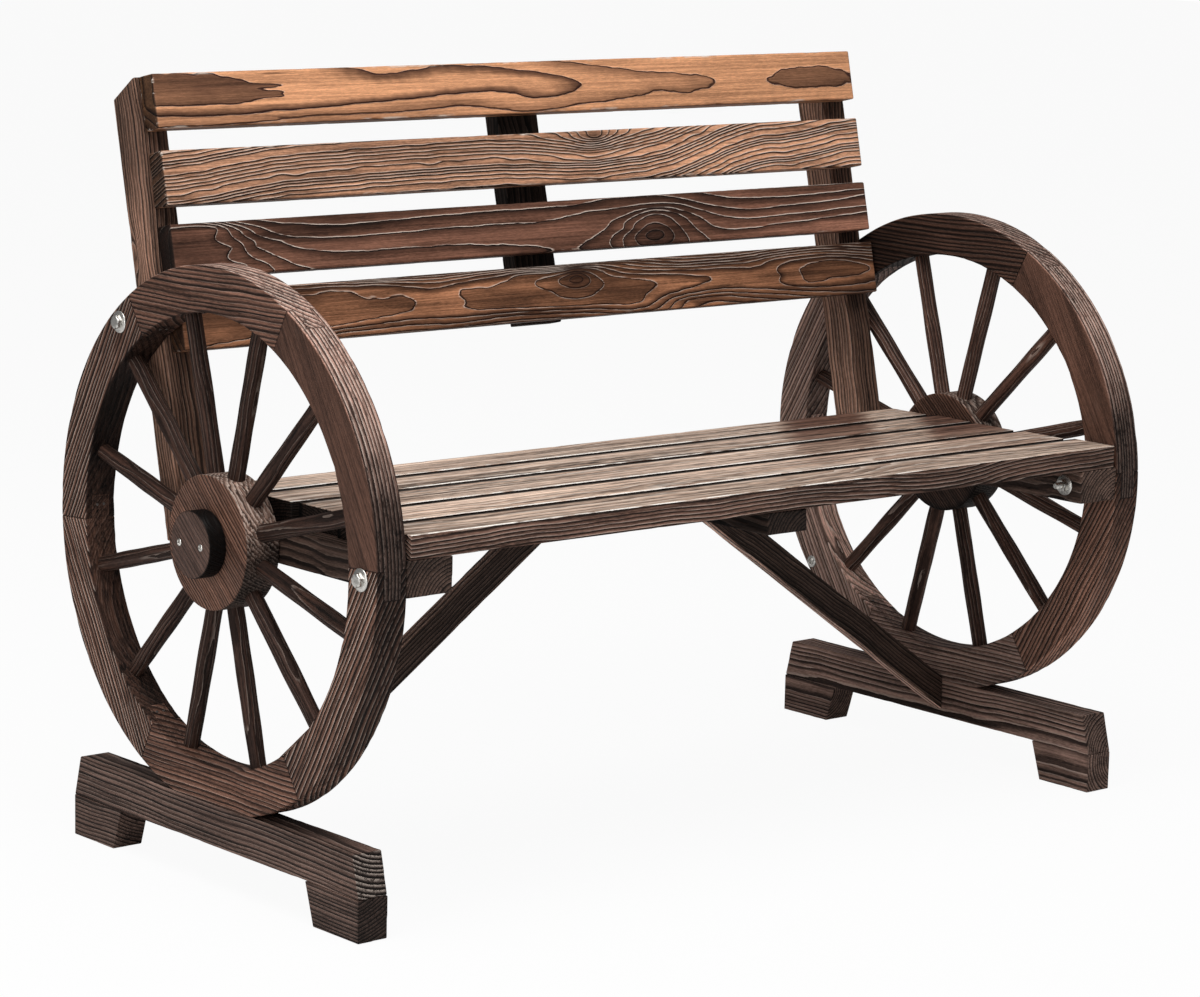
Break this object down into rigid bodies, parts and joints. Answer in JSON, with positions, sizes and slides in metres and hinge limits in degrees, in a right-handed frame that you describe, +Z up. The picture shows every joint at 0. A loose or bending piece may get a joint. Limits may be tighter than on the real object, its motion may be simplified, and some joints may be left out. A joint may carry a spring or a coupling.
{
  "type": "wagon wheel bench",
  "caption": "Free-standing timber garden bench whose arms are spoked wagon wheels on footed runners, with a boarded seat, a leaning slatted back and slanting braces.",
  "frame": {"origin": "on the floor under the middle of the wheel axle line, midway between the wheels", "axes": "+X along the seat to the sitter's left as seen in the picture's right, +Y from the seat's front to its back, +Z up"},
  "size_m": [1.1006, 0.5494, 0.803],
  "materials": {
    "rim_wood": "charred and brushed, satin lacquer",
    "spoke_wood": "charred, satin lacquer",
    "hub_wood": "charred and brushed, satin lacquer",
    "cap_wood": "charred, satin lacquer",
    "seat_wood": "charred and brushed, satin lacquer",
    "slat_wood": "charred and brushed, satin lacquer",
    "frame_wood": "charred and brushed, satin lacquer"
  },
  "bodies": {
    "root": {"wheel_left_felloe_1": "rim_wood", "wheel_left_felloe_2": "rim_wood", "wheel_left_felloe_3": "rim_wood", "wheel_left_felloe_4": "rim_wood", "wheel_left_felloe_5": "rim_wood", "wheel_left_felloe_6": "rim_wood", "wheel_left_spoke_01": "spoke_wood", "wheel_left_spoke_02": "spoke_wood", "wheel_left_spoke_03": "spoke_wood", "wheel_left_spoke_04": "spoke_wood", "wheel_left_spoke_05": "spoke_wood", "wheel_left_spoke_06": "spoke_wood", "wheel_left_spoke_07": "spoke_wood", "wheel_left_spoke_08": "spoke_wood", "wheel_left_spoke_09": "spoke_wood", "wheel_left_spoke_10": "spoke_wood", "wheel_left_spoke_11": "spoke_wood", "wheel_left_spoke_12": "spoke_wood", "wheel_left_hub": "hub_wood", "wheel_left_hub_cap": "cap_wood", "wheel_right_felloe_1": "rim_wood", "wheel_right_felloe_2": "rim_wood", "wheel_right_felloe_3": "rim_wood", "wheel_right_felloe_4": "rim_wood", "wheel_right_felloe_5": "rim_wood", "wheel_right_felloe_6": "rim_wood", "wheel_right_spoke_01": "spoke_wood", "wheel_right_spoke_02": "spoke_wood", "wheel_right_spoke_03": "spoke_wood", "wheel_right_spoke_04": "spoke_wood", "wheel_right_spoke_05": "spoke_wood", "wheel_right_spoke_06": "spoke_wood", "wheel_right_spoke_07": "spoke_wood", "wheel_right_spoke_08": "spoke_wood", "wheel_right_spoke_09": "spoke_wood", "wheel_right_spoke_10": "spoke_wood", "wheel_right_spoke_11": "spoke_wood", "wheel_right_spoke_12": "spoke_wood", "wheel_right_hub": "hub_wood", "wheel_right_hub_cap": "cap_wood", "seat_board_1": "seat_wood", "seat_board_2": "seat_wood", "seat_board_3": "seat_wood", "seat_board_4": "seat_wood", "seat_board_5": "seat_wood", "back_slat_1": "slat_wood", "back_slat_2": "slat_wood", "back_slat_3": "slat_wood", "back_slat_4": "slat_wood", "back_post_left": "frame_wood", "side_rail_left": "frame_wood", "brace_left": "frame_wood", "runner_left": "frame_wood", "back_post_right": "frame_wood", "side_rail_right": "frame_wood", "brace_right": "frame_wood", "runner_right": "frame_wood", "back_batten": "frame_wood", "seat_cleat": "frame_wood"}
  },
  "joints": []
}
